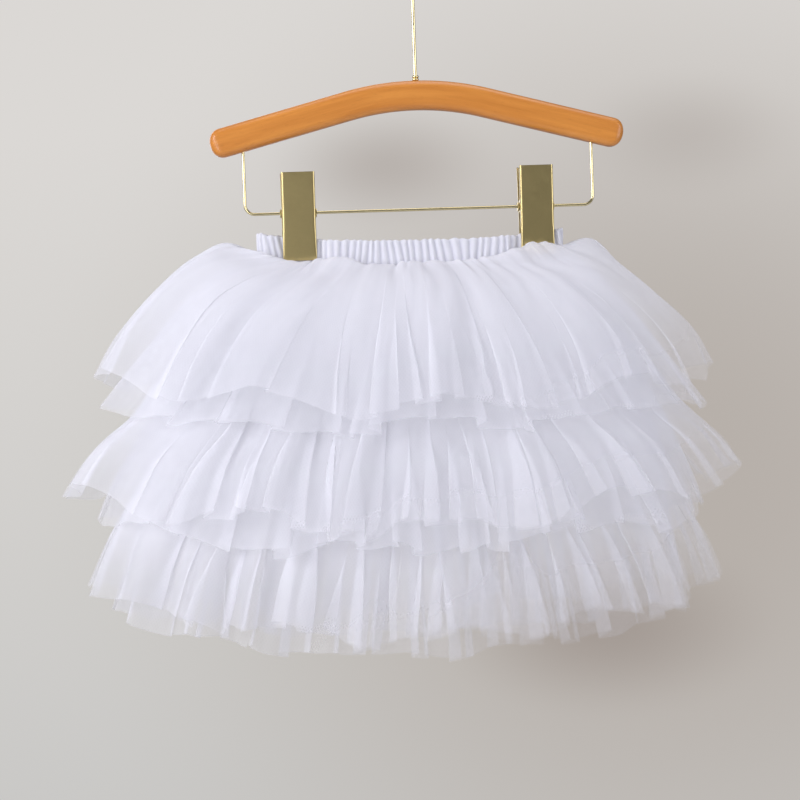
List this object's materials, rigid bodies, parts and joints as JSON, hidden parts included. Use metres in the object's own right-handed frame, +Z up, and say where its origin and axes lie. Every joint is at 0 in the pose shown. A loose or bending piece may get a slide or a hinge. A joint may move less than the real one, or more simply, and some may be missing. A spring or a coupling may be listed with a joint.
{
  "type": "tutu on a clip hanger",
  "caption": "Tiered tulle tutu with a gathered elastic waistband, hung by the waistband from the clips of a bowed wooden hanger.",
  "frame": {"origin": "inside top of the hook's curl, where the hanger hangs on a rail", "axes": "+Z up along the hook's stem, +X to the right seen from the front, +Y to the back; the front of the skirt faces -Y"},
  "size_m": [0.4973, 0.2485, 0.5099],
  "materials": {
    "tulle": "sheer fine net, faint sheen",
    "jersey": "matte knit",
    "beech": "satin varnish",
    "brass_wire": "polished",
    "brass_sheet": "satin",
    "spring_steel": "satin"
  },
  "bodies": {
    "root": {"waistband": "jersey", "base_skirt": "tulle", "tier_1_under": "tulle", "tier_1_outer": "tulle", "tier_2_under": "tulle", "tier_2_outer": "tulle", "tier_3_outer": "tulle", "hanger_bar": "beech", "hook": "brass_wire", "hook_ferrule": "brass_wire", "clip_rail": "brass_wire", "clip_left_front": "brass_sheet", "clip_left_back": "brass_sheet", "clip_left_spring": "spring_steel", "clip_right_front": "brass_sheet", "clip_right_back": "brass_sheet", "clip_right_spring": "spring_steel"}
  },
  "joints": []
}
